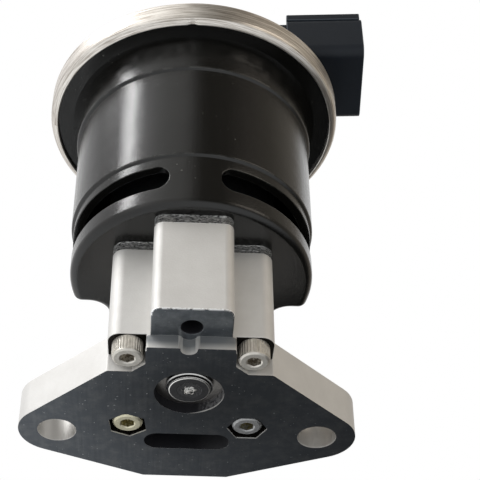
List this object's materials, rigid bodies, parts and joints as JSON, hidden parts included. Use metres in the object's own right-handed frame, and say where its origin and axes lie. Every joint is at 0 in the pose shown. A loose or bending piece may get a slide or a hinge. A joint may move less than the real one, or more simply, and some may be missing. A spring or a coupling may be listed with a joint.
{
  "type": "exhaust gas recirculation valve",
  "caption": "Solenoid valve that meters exhaust gas: flanged alloy base with poppet and outlet slot, slotted black coil case, crimped lid with sensor and side connector.",
  "frame": {"origin": "midway between the two mounting holes, on the flange's mating face", "axes": "+Z along the stem, from the mating face to the lid; +X from one mounting hole to the other, the connector at +X; -Y towards the front boss and the stem"},
  "size_m": [0.0847, 0.0746, 0.1149],
  "materials": {
    "cast_aluminium": "satin, machined mating face",
    "seat_steel": "turned",
    "bush_bronze": "turned",
    "seal_rubber": "matt",
    "gasket_fibre": "rough fibre with foil",
    "case_plastic": "semi-gloss, finely grained",
    "magnetic_steel": "turned",
    "screw_steel": "stainless, knurled head",
    "plated_screw": "zinc plated",
    "bobbin_plastic": "moulded",
    "copper_wire": "enamelled wire",
    "cap_plastic": "moulded, satin",
    "ring_steel": "brushed along its length",
    "tinned_brass": "tin plated",
    "board_ceramic": "ceramic with a resistor track",
    "stem_steel": "ground",
    "disc_steel": "dark turned steel",
    "spring_steel": "drawn wire"
  },
  "bodies": {
    "root": {"valve_body": "cast_aluminium", "valve_seat": "seat_steel", "stem_guide": "bush_bronze", "stem_seal": "seal_rubber", "body_gasket": "gasket_fibre", "solenoid_case": "case_plastic", "frame_plate": "magnetic_steel", "near_case_screws": "screw_steel", "far_case_screws": "plated_screw", "pole_core": "magnetic_steel", "yoke_tube": "magnetic_steel", "upper_plate": "magnetic_steel", "coil_bobbin": "bobbin_plastic", "coil_winding": "copper_wire", "armature_sleeve": "bush_bronze", "cap_seal": "seal_rubber", "sensor_cap": "cap_plastic", "crimp_ring": "ring_steel", "terminal_pins": "tinned_brass", "sensor_board": "board_ceramic", "sensor_guide": "bobbin_plastic"},
    "valve": {"valve_stem": "stem_steel", "valve_disc": "disc_steel", "disc_screw": "screw_steel", "armature": "magnetic_steel", "stem_clip": "spring_steel", "return_spring": "spring_steel"},
    "plunger": {"sensor_plunger": "bobbin_plastic", "wiper": "tinned_brass", "sensor_spring": "spring_steel"}
  },
  "joints": [
    {"name": "valve_lift", "type": "slide", "parent": "root", "child": "valve", "axis": [0, 0, -1], "range_m": [0, 0.0045], "stiffness_N_per_m": 1500, "springref_m": -0.01, "deforming": ["return_spring"]},
    {"name": "plunger_slide", "type": "slide", "parent": "root", "child": "plunger", "axis": [0, 0, -1], "range_m": [0, 0.0045], "deforming": ["sensor_spring"]}
  ],
  "couplings": [
    {"joint": "plunger_slide", "follows": "valve_lift", "ratio": 1}
  ]
}
